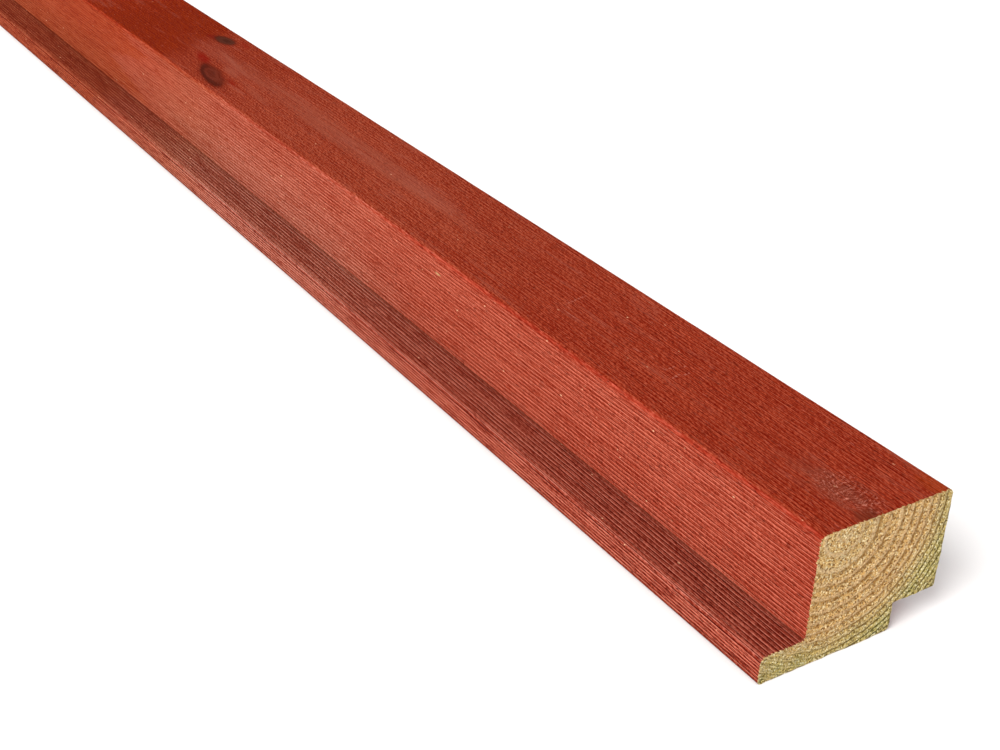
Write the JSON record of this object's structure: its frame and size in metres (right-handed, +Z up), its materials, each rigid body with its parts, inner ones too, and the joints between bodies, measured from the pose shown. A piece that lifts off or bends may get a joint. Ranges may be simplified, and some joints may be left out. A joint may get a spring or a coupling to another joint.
{
  "type": "rebated wooden fence batten",
  "caption": "Red-stained softwood batten of Z-shaped section, with a thin lip along the front and a rebate along the back that take board edges in a fence.",
  "frame": {"origin": "on the floor, under the middle of the bounding box", "axes": "+Y along the length, +X from the lip towards the back face, +Z up from the foot"},
  "size_m": [0.068, 1.8, 0.045],
  "materials": {
    "red_stained_wood": "matt red stain on finely ribbed softwood, cut ends bare"
  },
  "bodies": {
    "root": {"rebated_batten": "red_stained_wood"}
  },
  "joints": []
}
